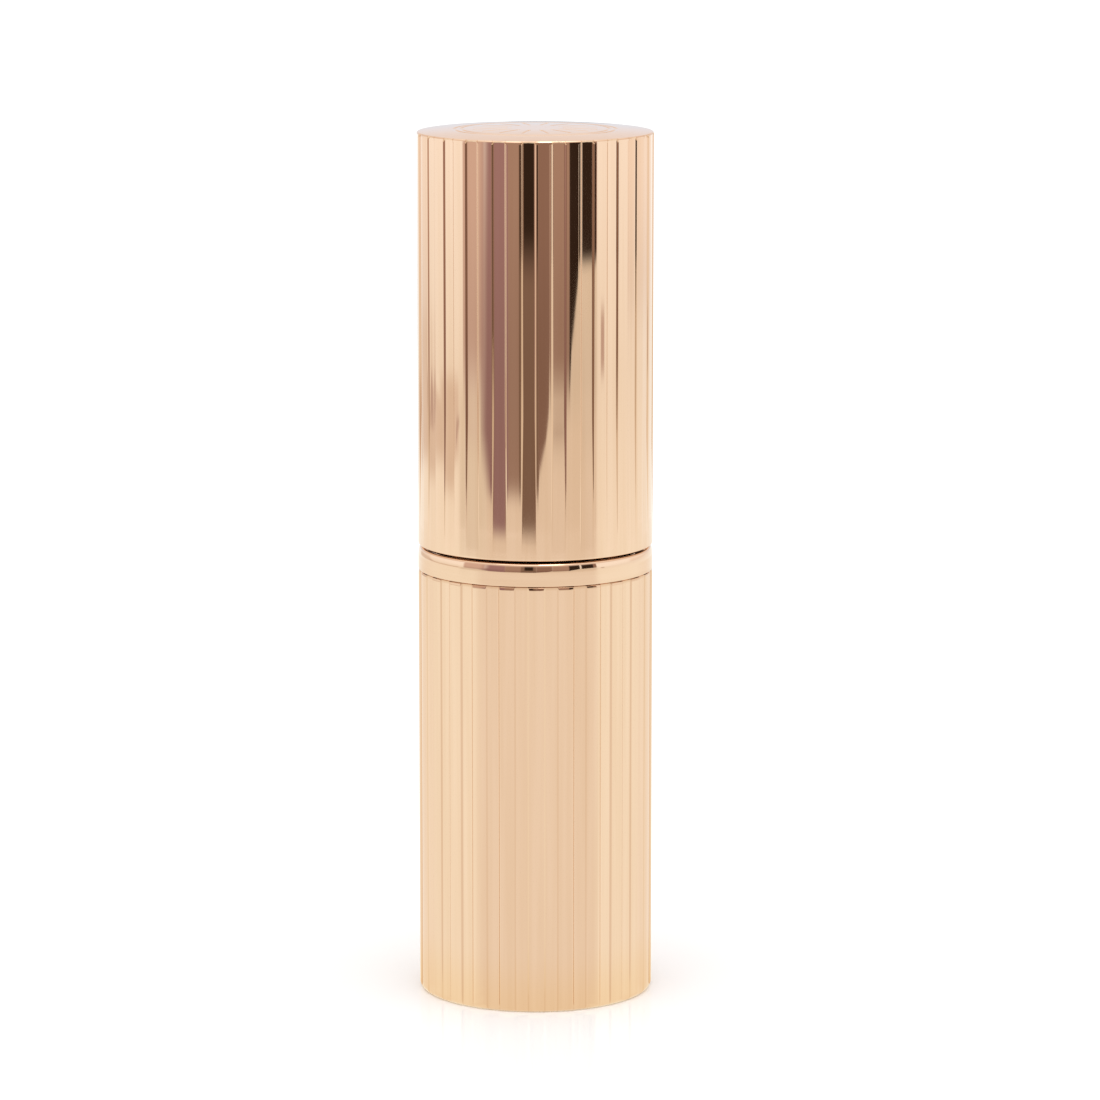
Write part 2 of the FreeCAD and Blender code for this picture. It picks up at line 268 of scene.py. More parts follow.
def lathe(name, outline, material, body, nodes, count=ROUND_STEPS):
    """A ring or tube turned from a closed outline of (radius, z) points."""
    skin = Skin()
    points = tighten(outline + [outline[0]])[:-1]
    rows = [skin.row(even_angles(count), r, z) for r, z in points]
    skin.stack(rows + [rows[0]])
    skin.build(name, material, body, nodes)


# ---------------------------------------------------------------- ribbed shells


def pitch_offsets():
    """Angles across one pitch, in degrees from the middle of a rib: dense over the two walls."""
    start = RIB_HALF_DEG - WALL_SOFT_DEG
    end = RIB_HALF_DEG + WALL_DEG + WALL_SOFT_DEG
    wall = spread(start, end, 9)
    rib = spread(-start, start, 6)[1:-1]
    floor = spread(end, PITCH_DEG - end, 4)[1:-1]
    return rib + wall + floor + [PITCH_DEG - x for x in reversed(wall)]


def rib_angles(turn_deg):
    offsets = pitch_offsets()
    degrees = [turn_deg + k * PITCH_DEG + x for k in range(RIB_COUNT) for x in offsets]
    return [math.radians(d) for d in degrees]


def channel_share(angle, turn_deg):
    """0 on a rib and 1 on a channel's floor, with the distance from the channel's middle line and
    half the channel's width."""
    across = (math.degrees(angle) - turn_deg) % PITCH_DEG - PITCH_DEG / 2
    beside = abs(math.radians(across)) * CASE_R
    half_width = math.radians(PITCH_DEG / 2 - RIB_HALF_DEG - WALL_DEG / 2) * CASE_R
    wall_half = math.radians(WALL_DEG / 2 + WALL_SOFT_DEG) * CASE_R
    return smooth_step((half_width + wall_half - beside) / (2 * wall_half)), beside, half_width


def cap_channel_share(angle, z):
    """A cap channel has a round-cornered top end and runs out slowly towards the lip."""
    share, beside, half_width = channel_share(angle, CAP_TURN_DEG)
    into_corner = min(max((beside - half_width) / CHANNEL_CORNER_R + 1, 0.0), 1.0)
    top = CAP_CHANNEL_TOP - CHANNEL_CORNER_R * (1 - math.sqrt(1 - into_corner**2))
    end = smooth_step((top - z) / CHANNEL_END_WALL)
    return min(share * end, cap_channel_fade(z))


def cap_channel_fade(z):
    """0 at the lip and 1 where the channels are at their full depth."""
    return min(max((z - CAP_LOW - CAP_LIP) / CAP_CHANNEL_FADE, 0.0), 1.0)


def wall_painted_shade(angle, turn_deg):
    """Painted shade on a channel's wall: 1 in its middle, running out to 0 at its edges."""
    share = channel_share(angle, turn_deg)[0]
    return 4 * share * (1 - share)


def ribbed_row(skin, angles, envelope_r, z, share, painted_shade):
    """A row that follows the ribs and channels but stays inside the rounded envelope."""

    def radius(a):
        return min(envelope_r, CASE_R - CHANNEL_DEPTH * share(a, z))

    # The last argument gives the row's painted shade.
    return skin.row(angles, radius, z, painted_shade)


def ray_offset(angle, radius):
    """Distance of a point on the crown from the nearest ray's middle line."""
    pitch = math.tau / RAY_COUNT
    across = (angle % pitch) - pitch / 2
    along = radius * math.cos(across)
    beside = abs(radius * math.sin(across))
    past_end = max(RAY_INNER_R - along, along - RAY_OUTER_R, 0)
    return math.hypot(past_end, beside)


def crown_z(angle, radius):
    """Height of the crown: a low dome with a flat middle, less its engraved ornament."""
    edge_r = CASE_R - CROWN_EDGE_R
    out = max(radius - CROWN_FLAT_R, 0) / (edge_r - CROWN_FLAT_R)
    dome = RIM_Z + DOME_RISE * (1 - out * out)
    nearest = min([abs(radius - r) for r in RING_RS] + [ray_offset(angle, radius)])
    cut = smooth_step((GROOVE_HALF + GROOVE_SOFT - nearest) / (2 * GROOVE_SOFT))
    return dome - GROOVE_DEPTH * cut


def crown_angles(radius):
    """Angles round the crown, dense across each ray so that its sides stay parallel."""
    pitch = math.tau / RAY_COUNT
    reach = max(radius, RAY_INNER_R * 0.85)
    edge = GROOVE_HALF + GROOVE_SOFT
    near = [math.asin(edge * f / reach) for f in (-BESIDE_RAY, *ACROSS_GROOVE, BESIDE_RAY)]
    between = spread(near[-1], pitch + near[0], 8)[1:-1]
    return [(k + 0.5) * pitch + x for k in range(RAY_COUNT) for x in near + between]


def crown_radii():
    """Radii of the crown's rows, from its edge inwards, dense across each groove and ray end."""
    edge = GROOVE_HALF + GROOVE_SOFT
    steps = [edge * f for f in (-BESIDE_RING, *ACROSS_GROOVE, BESIDE_RING)]
    radii = [r + s for r in (*RING_RS, RAY_INNER_R, RAY_OUTER_R) for s in steps]
    plain_zones = (  # outer radius, inner radius and steps between them, in mm
        (10.15, 7.6, 7),
        (6.2, 5.8, 2),
        (5.0, 3.0, 8),
        (2.2, 1.8, 2),
        (1.3, 0.3, 2),
    )
    for outer, inner, count in plain_zones:
        radii += spread(outer * MM, inner * MM, count)
    return sorted(radii, reverse=True)


def cap_shell(material):
    """Ribbed shell of the cap: mouth, lip, ribs and channels, rim, engraved crown and bore."""
    skin = Skin()
    angles = rib_angles(CAP_TURN_DEG)
    low = CAP_LOW + CAP_LIP
    foot = arc(CASE_R - CAP_FOOT_R, CAP_LOW + CAP_FOOT_R, CAP_FOOT_R, -90, 0, 5)
    under_edge = RIM_Z - CROWN_EDGE_R
    edge = arc(CASE_R - CROWN_EDGE_R, under_edge, CROWN_EDGE_R, 0, CROWN_EDGE_DEG, 6)
    end_zone = CAP_CHANNEL_TOP - CHANNEL_END_ZONE
    heights = [CAP_LOW + CAP_LIP_ROW] + spread(low, low + CAP_CHANNEL_FADE, 10)
    heights += spread(low + CAP_CHANNEL_FADE, end_zone, 14)[1:]
    heights += spread(end_zone + ROW_GAP, under_edge - 0.75 * ROW_GAP, 18)

    # Painted shade on the channels' walls, fading out with the channels towards the lip.
    def painted_shade(z):
        return lambda a: cap_channel_fade(z) * wall_painted_shade(a, CAP_TURN_DEG)

    rows = [skin.row(angles, r, z) for r, z in foot]
    for r, z in [(CASE_R, z) for z in heights] + edge:
        rows.append(ribbed_row(skin, angles, r, z, cap_channel_share, painted_shade(z)))
    skin.stack(rows)

    crown = []
    for r in crown_radii():
        crown.append(skin.row(crown_angles(r), r, lambda a, r=r: crown_z(a, r)))
    skin.stack(crown)
    skin.zip(rows[-1], crown[0])
    skin.fan(crown[-1], CAP_TOP)
    skin.bore(rows[0], SHELL_BORE_R, CAP_LOW, CAP_BORE_TOP)
    skin.build("cap_ribbed_shell", material, "cap", ["cap_shell"])


def base_shell(material):
    """Ribbed shell of the base: open channels at its top, rounded foot, label recess and bore."""
    skin = Skin()
    angles = rib_angles(BASE_TURN_DEG)
    foot = arc(CASE_R - BASE_FOOT_R, BASE_FOOT_R, BASE_FOOT_R, -90, 0, 9)
    top = leaning_edge(BASE_TOP, BASE_LEAN, BASE_TURN_R)
    heights = spread(BASE_FOOT_R, BASE_TOP - BASE_LEAN, 14)[1:-1]
    outline = tighten(foot + [(CASE_R, z) for z in heights] + top)

    def share(angle, _height):
        return channel_share(angle, BASE_TURN_DEG)[0]

    # Painted shade on the channels' walls, and full painted shade on the ribs' lean under the
    # band.
    def painted_shade(z):
        shade_under_band = max(1 - (BASE_TOP - z) / BASE_LEAN, 0)
        return lambda a: max(BASE_PAINTED_SHADE * wall_painted_shade(a, BASE_TURN_DEG), shade_under_band)

    rows = [ribbed_row(skin, angles, r, z, share, painted_shade(z)) for r, z in outline]
    skin.stack(rows)
    skin.bore(rows[-1], SHELL_BORE_R, BASE_TOP, BASE_FLOOR_Z)
    skin.bore(rows[0], RECESS_R, 0, RECESS_Z)
    skin.build("base_ribbed_shell", material, "base", ["base_shell"])


# ---------------------------------------------------------------- smooth metal


def collar_band(material):
    """Smooth band between cap and base, with a full shoulder above and a small edge below."""
    under_flat_r, top_flat_r = 9.6 * MM, 9.3 * MM  # a row within each flat
    side_low = BAND_LOW + BAND_FOOT_R
    outline = [(NECK_R, BAND_LOW), (under_flat_r, BAND_LOW)]
    outline += arc(CASE_R - BAND_FOOT_R, side_low, BAND_FOOT_R, -90, 0, 6)
    outline += spread_line((CASE_R, side_low), (CASE_R, BAND_TOP - BAND_LEAN), 4)
    outline += leaning_edge(BAND_TOP, BAND_LEAN, BAND_TURN_R)
    outline += [(top_flat_r, BAND_TOP), (NECK_R, BAND_TOP)]
    lathe("collar_ring", outline, material, "base", ["collar_band"], 288)


def neck(material):
    """Neck under the cap, with a turned click groove and a rounded mouth."""
    low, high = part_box("neck")
    bore = 8.15 * MM
    groove_z, groove_half, groove_depth = 43.4 * MM, 0.45 * MM, 0.1 * MM
    lip, inner_lip = 0.2 * MM, 0.14 * MM
    outline = [(bore, low.z), (high.x, low.z), (high.x, BAND_LOW), (NECK_R, BAND_LOW)]
    outline += spread_line((NECK_R, BAND_LOW), (NECK_R, groove_z - groove_half), 3)
    for t in spread(-1, 1, 12):
        depth = groove_depth * math.cos(t * math.pi / 2)
        outline.append((NECK_R - depth, groove_z + t * groove_half))
    outline += arc(NECK_R - lip, high.z - lip, lip, 0, 90, 6)
    outline += arc(bore + inner_lip, high.z - inner_lip, inner_lip, 90, 180, 5)
    lathe("neck_tube", outline, material, "base", ["neck"])


def swivel_sleeve(material):
    """Polished sleeve that the fingers turn, with a rolled mouth."""
    low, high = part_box("swivel_sleeve")
    outer, bore, mouth = high.x, 7.68 * MM, 6.6 * MM
    foot, edge, lip = 0.08 * MM, 0.25 * MM, 0.35 * MM
    outline = [(bore, low.z)] + arc(outer - foot, low.z + foot, foot, -90, 0, 3)
    outline += spread_line((outer, low.z), (outer, high.z), 6)
    outline += arc(outer - edge, high.z - edge, edge, 0, 90, 8)
    outline += arc(mouth + lip / 2, high.z - lip / 2, lip / 2, 90, 270, 10)
    outline += [(bore, high.z - lip)]
    lathe("sleeve_tube", outline, material, "swivel", ["swivel_sleeve"], 256)


# ---------------------------------------------------------------- bullet


def bullet(material):
    """Lipstick bullet: a moulded cylinder with a slanted, slightly crowned face and soft edges."""
    low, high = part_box("bullet")
    radius = high.x
    slope = 10.5 / 12.1  # the slant's rise over the bullet's width
    tip_z = 54.2 * MM
    middle_z = tip_z - radius * slope
    edge, bevel, crown = 1.1 * MM, 0.3 * MM, 0.25 * MM
    face_rings = (0.85, 0.65, 0.45, 0.25, 0.1)
    skin = Skin()
    angles = even_angles(160)

    def face_z(a, r):
        return middle_z + r * math.sin(a) * slope + crown * (1 - (r / radius) ** 2)

    def side_row(share):
        def z(a):
            return low.z + (face_z(a, radius) - edge - low.z) * share

        return skin.row(angles, radius, z)

    rows = [skin.row(angles, radius * 0.5, low.z), skin.row(angles, radius - bevel, low.z)]
    rows += [side_row(share) for share in spread(0.012, 1, 14)]
    for turn in spread(8, 90, 10):
        inset = edge * (1 - math.cos(math.radians(turn)))
        drop = edge * (1 - math.sin(math.radians(turn)))
        r = radius - inset
        rows.append(skin.row(angles, r, lambda a, r=r, drop=drop: face_z(a, r) - drop))
    for share in face_rings:
        r = (radius - edge) * share
        rows.append(skin.row(angles, r, lambda a, r=r: face_z(a, r)))
    skin.stack(rows)
    skin.fan(rows[0], low.z)
    skin.fan(rows[-1], middle_z + crown)
    skin.build("lipstick_bullet", material, "carrier", ["bullet"])


# ---------------------------------------------------------------- materials

# Noise scales are in cells for each metre, and bump depths in metres.


def new_material(name):
    material = bpy.data.materials.new(name)
    material.use_nodes = True
    tree = material.node_tree
    return material, tree, tree.nodes["Principled BSDF"]


def noise(tree, scale, stretch=(1, 1, 1), detail=3.0, roughness=0.5):
    """Noise in the object's own space, with stretch as a scale along each axis."""
    place = tree.nodes.new("ShaderNodeTexCoord")
    mapping = tree.nodes.new("ShaderNodeMapping")
    mapping.inputs["Scale"].default_value = stretch
    texture = tree.nodes.new("ShaderNodeTexNoise")
    texture.inputs["Scale"].default_value = scale
    texture.inputs["Detail"].default_value = detail
    texture.inputs["Roughness"].default_value = roughness
    tree.links.new(place.outputs["Object"], mapping.inputs["Vector"])
    tree.links.new(mapping.outputs["Vector"], texture.inputs["Vector"])
    return texture.outputs["Fac"]


def ramp(tree, factor, stops):
    """Colours or greys along a factor. A stop is (position, value or (r, g, b))."""
    node = tree.nodes.new("ShaderNodeValToRGB")
    elements = node.color_ramp.elements
    while len(elements) < len(stops):
        elements.new(0.5)
    for element, (position, value) in zip(elements, stops):
        rgb = value if isinstance(value, tuple) else (value,) * 3
        element.position = position
        element.color = (*rgb, 1)
    tree.links.new(factor, node.inputs["Fac"])
    return node.outputs["Color"]


def bump(tree, heights, shader):
    """Chains bumps, each (height socket, depth in metres), into the shader's normal."""
    normal = None
    for height, distance in heights:
        node = tree.nodes.new("ShaderNodeBump")
        node.inputs["Distance"].default_value = distance
        tree.links.new(height, node.inputs["Height"])
        if normal is not None:
            tree.links.new(normal, node.inputs["Normal"])
        normal = node.outputs["Normal"]
    tree.links.new(normal, shader.inputs["Normal"])


def rose_gold(name, streak):
    """Polished rose-gold anodised metal, darkened by painted shade where its groove attribute
    says. streak stretches its fine drawing marks."""
    material, tree, shader = new_material(name)
    shader.inputs["Metallic"].default_value = 1.0
    drawn = noise(tree, 1500, streak, detail=3)
    tint = ramp(tree, drawn, [(0.35, (0.804, 0.566, 0.393)), (0.65, (0.838, 0.602, 0.432))])
    # Painted shade: the mesh's groove attribute mixes in a darker rose.
    groove = tree.nodes.new("ShaderNodeAttribute")
    groove.attribute_name = "groove"
    shade_mix = tree.nodes.new("ShaderNodeMix")
    shade_mix.data_type = "RGBA"
    shade_mix.inputs["B"].default_value = (0.69, 0.44, 0.275, 1)
    tree.links.new(groove.outputs["Fac"], shade_mix.inputs["Factor"])
    tree.links.new(tint, shade_mix.inputs["A"])
    tree.links.new(shade_mix.outputs["Result"], shader.inputs["Base Color"])
    smudge = ramp(tree, noise(tree, 160, detail=5, roughness=0.6), [(0.35, 0.03), (0.75, 0.06)])
    tree.links.new(smudge, shader.inputs["Roughness"])
    marks = noise(tree, 2400, streak, detail=2)
    waves = noise(tree, 170, (1, 1, 0.25), detail=1)
    bump(tree, [(waves, 0.000012), (marks, 0.0000004)], shader)
    return material


def lipstick_wax():
    """Rose wax with a satin bloom, faint mould flow and a little light passing into it."""
    material, tree, shader = new_material("lipstick_wax")
    shader.inputs["Subsurface Weight"].default_value = 0.15
    shader.inputs["Subsurface Radius"].default_value = (1.0, 0.35, 0.3)
    shader.inputs["Subsurface Scale"].default_value = 0.0008
    shader.inputs["Specular IOR Level"].default_value = 0.45
    tint = ramp(
        tree,
        noise(tree, 350, (1, 1, 0.35), detail=5),
        [(0.3, (0.470, 0.105, 0.100)), (0.7, (0.540, 0.135, 0.122))],
    )
    tree.links.new(tint, shader.inputs["Base Color"])
    satin = ramp(tree, noise(tree, 600, detail=4), [(0.3, 0.30), (0.7, 0.42)])
    tree.links.new(satin, shader.inputs["Roughness"])
    grain = noise(tree, 5200, detail=4)
    flow = noise(tree, 420, (1, 1, 0.3), detail=2)
    bump(tree, [(flow, 0.00002), (grain, 0.000003)], shader)
    return material


def moulded_plastic(name, dark, light, roughness):
    """Moulded plastic with slight mottling and a fine moulded grain."""
    material, tree, shader = new_material(name)
    tint = ramp(tree, noise(tree, 180, detail=4), [(0.3, dark), (0.7, light)])
    tree.links.new(tint, shader.inputs["Base Color"])
    polish = [(0.3, roughness - 0.05), (0.7, roughness + 0.06)]
    tree.links.new(ramp(tree, noise(tree, 420, detail=4), polish), shader.inputs["Roughness"])
    bump(tree, [(noise(tree, 3600, detail=3), 0.000004)], shader)
    return material


def turned_steel():
    """Zinc-plated steel with concentric turning marks."""
    material, tree, shader = new_material("turned_steel")
    shader.inputs["Metallic"].default_value = 1.0
    tones = [(0.3, (0.46, 0.47, 0.49)), (0.7, (0.60, 0.61, 0.62))]
    tree.links.new(ramp(tree, noise(tree, 300, detail=4), tones), shader.inputs["Base Color"])
    dull = ramp(tree, noise(tree, 900, detail=3), [(0.3, 0.28), (0.7, 0.42)])
    tree.links.new(dull, shader.inputs["Roughness"])
    place = tree.nodes.new("ShaderNodeTexCoord")
    rings = tree.nodes.new("ShaderNodeTexWave")
    rings.wave_type = "RINGS"
    rings.rings_direction = "Z"
    rings.inputs["Scale"].default_value = 1800
    rings.inputs["Distortion"].default_value = 1.5
    tree.links.new(place.outputs["Object"], rings.inputs["Vector"])
    bump(tree, [(rings.outputs["Fac"], 0.000006)], shader)
    return material


def label_paper():
    """Blank satin label with a slight paper tooth."""
    material, tree, shader = new_material("label_paper")
    tones = [(0.3, (0.60, 0.46, 0.37)), (0.7, (0.66, 0.51, 0.41))]
    tree.links.new(ramp(tree, noise(tree, 700, detail=6), tones), shader.inputs["Base Color"])
    satin = ramp(tree, noise(tree, 500, detail=3), [(0.3, 0.38), (0.7, 0.5)])
    tree.links.new(satin, shader.inputs["Roughness"])
    bump(tree, [(noise(tree, 6500, detail=5), 0.000005)], shader)
    return material


def dress(node, material):
    """Gives a carried-over CAD node its material."""
    piece = frame["nodes"][node]
    piece.data.materials.clear()
    piece.data.materials.append(material)


# ---------------------------------------------------------------- studio

# Round the case stand a wall and a floor ring that only its reflections see. Angles are in
# degrees from the front towards the case's right, heights and distances in mm.
WALL_R = 265.0
WALL_TOP = 345.0
WORLD_GLOW = 1.16
FLOOR_HALF = 12.0  # in metres
FLOOR_GAP = 0.02 * MM  # the floor lies this far below the foot, so that their faces don't meet
FLOOR_TONE = (0.93, 0.93, 0.925, 1)
FLOOR_GLOSS = 0.11
GLOSS_REACH = 50 * MM
GLOSS_FRONT = 20 * MM  # how far in front of the case's axis the gloss has its middle
RING_DEPTH = 0.2  # the ring lies this far below the floor, which polished surfaces don't mirror
TAN = (0.68, 0.55, 0.52)
MAUVE = (0.37, 0.245, 0.275)
BROWN = (0.41, 0.30, 0.26)
OLIVE = (0.255, 0.18, 0.145)
DEEP_BROWN = (0.29, 0.195, 0.165)
BLACK = (0.035, 0.022, 0.016)
WARM = ((13, (0.97, 0.92, 0.84)), (21, (0.87, 0.83, 0.75)))
# A pale patch painted on the wall, which the metal shows as a soft painted reflection.
SOFT_PATCH = (0.93, 0.85, 0.78)
EDGE_TONE = (0.98, 0.95, 0.92)
FRONT_FLOOR = (1.0, 0.985, 0.93)
SIDE_FLOOR = (1.10, 1.145, 1.10)
BACK_FLOOR = (1.05, 1.02, 0.93)
NEAR_TINT = (0.99, 0.94, 0.82)

# Glow by height where no strip stands, and above the strips.
PALE_GLOW = [(0, (1.10, 1.13, 1.09)), (22, (1.05, 1.07, 1.04)), (54, (1.17, 1.22, 1.26))]
ROOF_GLOW = [
    (55, (0.80, 0.84, 0.92)),
    (88, (0.84, 0.85, 0.91)),
    (100, (0.90, 0.865, 0.90)),
    (118, (0.92, 0.83, 0.79)),
    (132, (0.93, 0.83, 0.78)),
    (148, (0.93, 0.79, 0.69)),
    (220, (0.94, 0.82, 0.74)),
    (345, (WORLD_GLOW,) * 3),
]

# Strip edges that change with height, as (height, angle) points.
MAUVE_LEFT = ((0, -42.3), (4, -43.3), (9, -48.5), (14, -52.8), (54, -49.8))
DEEP_RIGHT = ((6, 0.8), (8.6, 3.5), (13, 10), (18, 13.5), (27, 16.3))
BLACK_RIGHT = ((19, 32.8), (26, 34.8), (29, 37), (33, 39.8), (38.6, 43.5))
SOFT_PATCH_RIGHT = ((12, -84), (17, -100), (20, -118), (24, -122))

# Each strip: colour, left edge, right edge, foot, top, then how soft its left, right and foot
# are. A colour or an edge may be given as (height, value) points.
STRIPS = [
    (EDGE_TONE, -158, -124, 10, 70, 8, 8, 8),
    (EDGE_TONE, 104, 150, 30, 70, 8, 8, 14),
    (WARM, -50, 61, -5, 46, 8, 6, 1),
    ((0.96, 0.94, 0.86), -78, -48, -5, 20, 8, 6, 1),
    (TAN, -73, -50, 20, None, 3, 3, 14),
    (MAUVE, MAUVE_LEFT, -29, 5, None, 13, 1, 1.5),
    (BROWN, -29.2, -13.5, 5.5, None, 1, 1, 3),
    (OLIVE, -14, 0.8, 5.2, None, 1, 1, 3),
    (DEEP_BROWN, 0.8, DEEP_RIGHT, 6, None, 1, 1.5, 2),
    (BROWN, 16.3, 33.5, 20, None, 1, 2, 11),
    (BLACK, -10.5, -2.2, 38, None, 1.2, 1.2, 9),
    (BLACK, 32.6, BLACK_RIGHT, 19, None, 1, 1, 5),
    (BLACK, 45, 57.5, 37.5, None, 0.6, 0.6, 2.5),
    (DEEP_BROWN, 57.3, 60.8, 38, None, 0.6, 0.6, 2.5),
    (SOFT_PATCH, -150, SOFT_PATCH_RIGHT, 9, 29, 6, 16, 5),
    (SOFT_PATCH, ((10, -98), (19, -104)), -79, 10, 21, 10, 4, 4),
    (TAN, ((15, -123), (20, -126)), ((15, -117), (20, -121)), 16, 21, 3, 3, 1.5),
    (TAN, ((11, -86), (16, -81)), ((11, -83), (16, -77)), 11.5, 15.5, 3, 2, 1.5),
    (TAN, 65.5, 69.5, 22, 31, 1.5, 1.5, 4),
    (MAUVE, 172, 177, 4, 260, 1.5, 1, 2),
    (BLACK, 177, 181, 22, 260, 1, 1, 6),
    (BROWN, 181, 190, 4, 260, 1, 1.5, 2),
]

# The bright card's corners, in degrees round from the front and up from the floor.
GLINT_CORNERS = [(5, 42), (36, 42), (56, 80), (5, 80)]
GLINT_REACH = 450.0  # in mm
GLINT_GLOW = (5, 5, 5)

# The camera's place as multiples of the case's radius, its turn in degrees and its lens in mm.
CAMERA_BACK, CAMERA_UP = 42.0, 11.0
CAMERA_PITCH, CAMERA_YAW = 9.72, 0.17
CAMERA_LENS, CAMERA_SENSOR = 163.3, 36.0


def mix(one, other, share):
    return tuple(a + (b - a) * share for a, b in zip(one, other))


def along(points, at):
    """The value at a place along (place, value) points. A value may be a number or a colour."""
    if at <= points[0][0]:
        return points[0][1]
    for (low, start), (high, end) in zip(points, points[1:]):
        if at <= high:
            share = (at - low) / (high - low)
            if isinstance(start, tuple):
                return mix(start, end, share)
            return start + (end - start) * share
    return points[-1][1]


def at_height(value, height):
    """A plain value, or the one that its (height, value) points give."""
    changes = isinstance(value, tuple) and isinstance(value[0], tuple)
    return along(value, height) if changes else value


def fade(value, start, end):
    """Rises smoothly from 0 at start to 1 at end."""
    return smooth_step((value - start) / (end - start))


def strip_cover(strip, angle, height):
    """How much of a strip shows at a place on the wall."""
    _, left, right, foot, top, soft_left, soft_right, soft_foot = strip
    cover = smooth_step((angle - at_height(left, height)) / soft_left + 0.5)
    cover *= smooth_step((at_height(right, height) - angle) / soft_right + 0.5)
    cover *= smooth_step((height - foot) / soft_foot + 0.5)
    if top:
        soft_top = 0.4 * (top - foot)
        cover *= smooth_step((top - height) / soft_top + 0.5)
    return cover


def wall_colour(angle, height):
    """The wall's glow: pale, with darker strips that are a little brighter higher up. A plain
    peach roof takes over from 85 to 135 mm, and from 60 to 74 mm behind the case."""
    colour = along(PALE_GLOW, height)
    lift = 0.93 + 0.2 * fade(height, 20, 54)
    for strip in STRIPS:
        glow = tuple(lift * c for c in at_height(strip[0], height))
        colour = mix(colour, glow, strip_cover(strip, angle, height))
    behind = fade(abs(angle), 120, 140)
    roof = fade(height, 85 - 25 * behind, 135 - 61 * behind)
    return mix(colour, along(ROOF_GLOW, height), roof)


def mirrored_angle(angle, distance):
    """The azimuth of the reflection in which the case's side shows a place on the floor."""
    mirrored = angle
    for _ in range(6):
        lean = CASE_R / MM * math.sin(math.radians(mirrored / 2)) / distance
        mirrored = angle + math.degrees(math.asin(max(-1.0, min(1.0, lean))))
    return mirrored


def ring_colour(angle, distance):
    """The floor ring's glow: brighter beside the case, deeper close to it, and running into the
    wall's own colour at its foot."""
    seen = mirrored_angle(angle, distance)
    beside = max(fade(-seen, 51, 65), fade(seen, 56, 70))
    colour = mix(FRONT_FLOOR, SIDE_FLOOR, beside)
    colour = mix(colour, BACK_FLOOR, fade(abs(seen), 112, 142))
    near = mix(NEAR_TINT, (1, 1, 1), fade(distance, 11, 33))
    colour = tuple(a * b for a, b in zip(colour, near))
    foot = mix(wall_colour(angle, 0), colour, 0.3)
    return mix(colour, foot, fade(distance, WALL_R - 50, WALL_R))


def glowing_paint(name):
    """Emission in the colours painted on a mesh."""
    material, tree, shader = new_material(name)
    tree.nodes.remove(shader)
    paint = tree.nodes.new("ShaderNodeVertexColor")
    paint.layer_name = "paint"
    glow = tree.nodes.new("ShaderNodeEmission")
    tree.links.new(paint.outputs["Color"], glow.inputs["Color"])
    tree.links.new(glow.outputs["Emission"], tree.nodes["Material Output"].inputs["Surface"])
    return material


def reflected_sheet(name, angles, steps, place, colour):
    """A painted sheet round the case that only polished surfaces mirror. place gives the
    (distance, height) of a step."""
    bm = bmesh.new()
    paint = bm.verts.layers.float_color.new("paint")
    columns = []
    for degrees in angles:
        a = math.radians(degrees)
        column = []
        for step in steps:
            distance, height = place(step)
            spot = (distance * math.sin(a) * MM, -distance * math.cos(a) * MM, height * MM)
            vert = bm.verts.new(spot)
            vert[paint] = (*colour(degrees, step), 1)
            column.append(vert)
        columns.append(column)
    for left, right in zip(columns, columns[1:] + columns[:1]):
        for k in range(len(steps) - 1):
            bm.faces.new((left[k], right[k], right[k + 1], left[k + 1]))
    stage_sheet(name, bm)


def stage_sheet(name, bm):
    """Makes a painted mesh glow for polished surfaces alone."""
    piece = linked_object(name, filled_mesh(name, bm, glowing_paint(name)))
    piece.visible_camera = False
    piece.visible_diffuse = False
    piece.visible_shadow = False
    piece.visible_transmission = False


def reflected_room():
    """The wall of soft strips and the floor ring that the polished metal mirrors."""

    def wall_paint(angle, height):
        """Behind the case the strips' angles run on past 180 degrees."""
        return wall_colour(angle + 360 if angle < -150 else angle, height)

    heights = spread(0, 60, 60) + spread(60, WALL_TOP, 30)[1:]
    angles = spread(-180, 180, 720)[:-1]
    reflected_sheet("reflected_wall", angles, heights, lambda h: (WALL_R, h), wall_paint)
    distances = spread(CASE_R / MM - 1, 50, 12) + spread(50, WALL_R, 16)[1:]
    angles = spread(-180, 180, 180)[:-1]
    reflected_sheet("reflected_ring", angles, distances, lambda r: (r, -RING_DEPTH), ring_colour)


def glint_card():
    """A small bright card above the front right, mirrored as a glint in the crown's edge."""
    bm = bmesh.new()
    paint = bm.verts.layers.float_color.new("paint")
    corners = []
    for angle, elevation in GLINT_CORNERS:
        a, e = math.radians(angle), math.radians(elevation)
        spot = Vector((math.cos(e) * math.sin(a), -math.cos(e) * math.cos(a), math.sin(e)))
        vert = bm.verts.new(spot * GLINT_REACH * MM)
        vert[paint] = (*GLINT_GLOW, 1)
        corners.append(vert)
    bm.faces.new(corners)
    stage_sheet("glint_card", bm)


